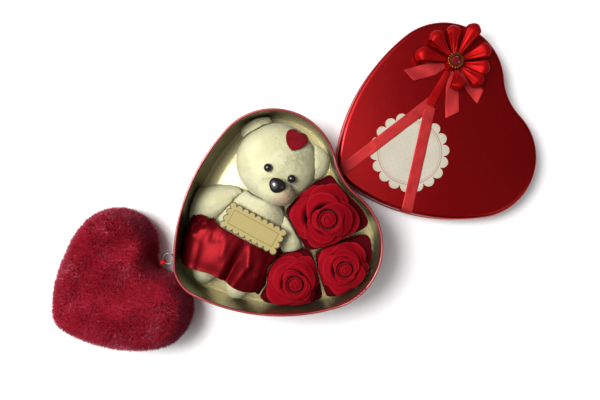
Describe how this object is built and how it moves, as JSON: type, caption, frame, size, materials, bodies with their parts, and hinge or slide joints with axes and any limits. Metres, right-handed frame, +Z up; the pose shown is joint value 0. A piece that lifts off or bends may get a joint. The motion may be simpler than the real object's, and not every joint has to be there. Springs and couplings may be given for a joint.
{
  "type": "heart gift tin",
  "caption": "Open heart-shaped red gift tin holding a small plush bear and soap roses, its lid with a ribbon bow and a fluffy plush heart lying beside it.",
  "frame": {"origin": "middle of the tin body's flat underside, half way along its heart from the tip to the lobes", "axes": "+X along the tin body from the tip of the heart to its notch, which is also the row of three hearts; +Z up, out of the open tin"},
  "size_m": [0.3858, 0.1625, 0.0499],
  "materials": {
    "tin_red": "glossy lacquer outside, bare tinplate inside",
    "tin_bare": "bright tinplate",
    "lid_red": "glossy metallic lacquer",
    "label_paper": "matt card",
    "satin_ribbon": "satin",
    "gold_metal": "polished",
    "red_stone": "faceted",
    "black_bead": "glossy",
    "red_velvet": "velvet",
    "skirt_satin": "satin",
    "tag_wood": "laser-cut plywood",
    "cream_plush": "short velvet pile",
    "rose_stalk": "matt",
    "soap_petal": "matt soap sheet",
    "red_plush": "short fur pile",
    "steel_ring": "polished wire"
  },
  "bodies": {
    "tin": {"base_wall": "tin_red", "base_floor": "tin_bare"},
    "lid": {"bow_knot": "satin_ribbon", "bow_loop_1": "satin_ribbon", "bow_loop_2": "satin_ribbon", "bow_loop_3": "satin_ribbon", "bow_loop_4": "satin_ribbon", "bow_loop_5": "satin_ribbon", "bow_loop_6": "satin_ribbon", "bow_loop_7": "satin_ribbon", "bow_loop_8": "satin_ribbon", "bow_tail_down": "satin_ribbon", "bow_tail_left": "satin_ribbon", "bow_tail_right": "satin_ribbon", "gem": "red_stone", "gem_setting": "gold_metal", "lid_label": "label_paper", "lid_shell": "lid_red", "strap_left": "satin_ribbon", "strap_right": "satin_ribbon"},
    "bear": {"bear_arm_left": "cream_plush", "bear_arm_right": "cream_plush", "bear_body": "cream_plush", "bear_ear_left": "cream_plush", "bear_ear_right": "cream_plush", "bear_eyes": "black_bead", "bear_head": "cream_plush", "bear_leg_left": "cream_plush", "bear_leg_right": "cream_plush", "bear_muzzle": "cream_plush", "bear_nose": "black_bead", "bear_patch": "red_velvet", "bear_skirt": "skirt_satin", "bear_tag": "tag_wood"},
    "rose_a": {"rose_a_bud": "soap_petal", "rose_a_inner": "soap_petal", "rose_a_middle": "soap_petal", "rose_a_outer": "soap_petal", "rose_a_stalk": "rose_stalk"},
    "rose_b": {"rose_b_bud": "soap_petal", "rose_b_inner": "soap_petal", "rose_b_middle": "soap_petal", "rose_b_outer": "soap_petal", "rose_b_stalk": "rose_stalk"},
    "rose_c": {"rose_c_bud": "soap_petal", "rose_c_inner": "soap_petal", "rose_c_middle": "soap_petal", "rose_c_outer": "soap_petal", "rose_c_stalk": "rose_stalk"},
    "plush": {"plush_heart": "red_plush", "plush_tab": "satin_ribbon"},
    "ring": {"plush_ring": "steel_ring"}
  },
  "joints": [
    {"name": "lid_lift", "type": "slide", "parent": "tin", "child": "lid", "axis": [0, 0, 1], "range_m": [0, 0.12]},
    {"name": "bear_lift", "type": "slide", "parent": "tin", "child": "bear", "axis": [0, 0, 1], "range_m": [0, 0.1]},
    {"name": "rose_a_lift", "type": "slide", "parent": "tin", "child": "rose_a", "axis": [0, 0, 1], "range_m": [0, 0.1]},
    {"name": "rose_b_lift", "type": "slide", "parent": "tin", "child": "rose_b", "axis": [0, 0, 1], "range_m": [0, 0.1]},
    {"name": "rose_c_lift", "type": "slide", "parent": "tin", "child": "rose_c", "axis": [0, 0, 1], "range_m": [0, 0.1]},
    {"name": "plush_lift", "type": "slide", "parent": "tin", "child": "plush", "axis": [0, 0, 1], "range_m": [0, 0.1]},
    {"name": "ring_swing", "type": "hinge", "parent": "plush", "child": "ring", "pos_m": [-0.07871, 0.01903, 0.021], "axis": [-0.0349, -0.9994, 0], "range_deg": [0, 75]}
  ]
}
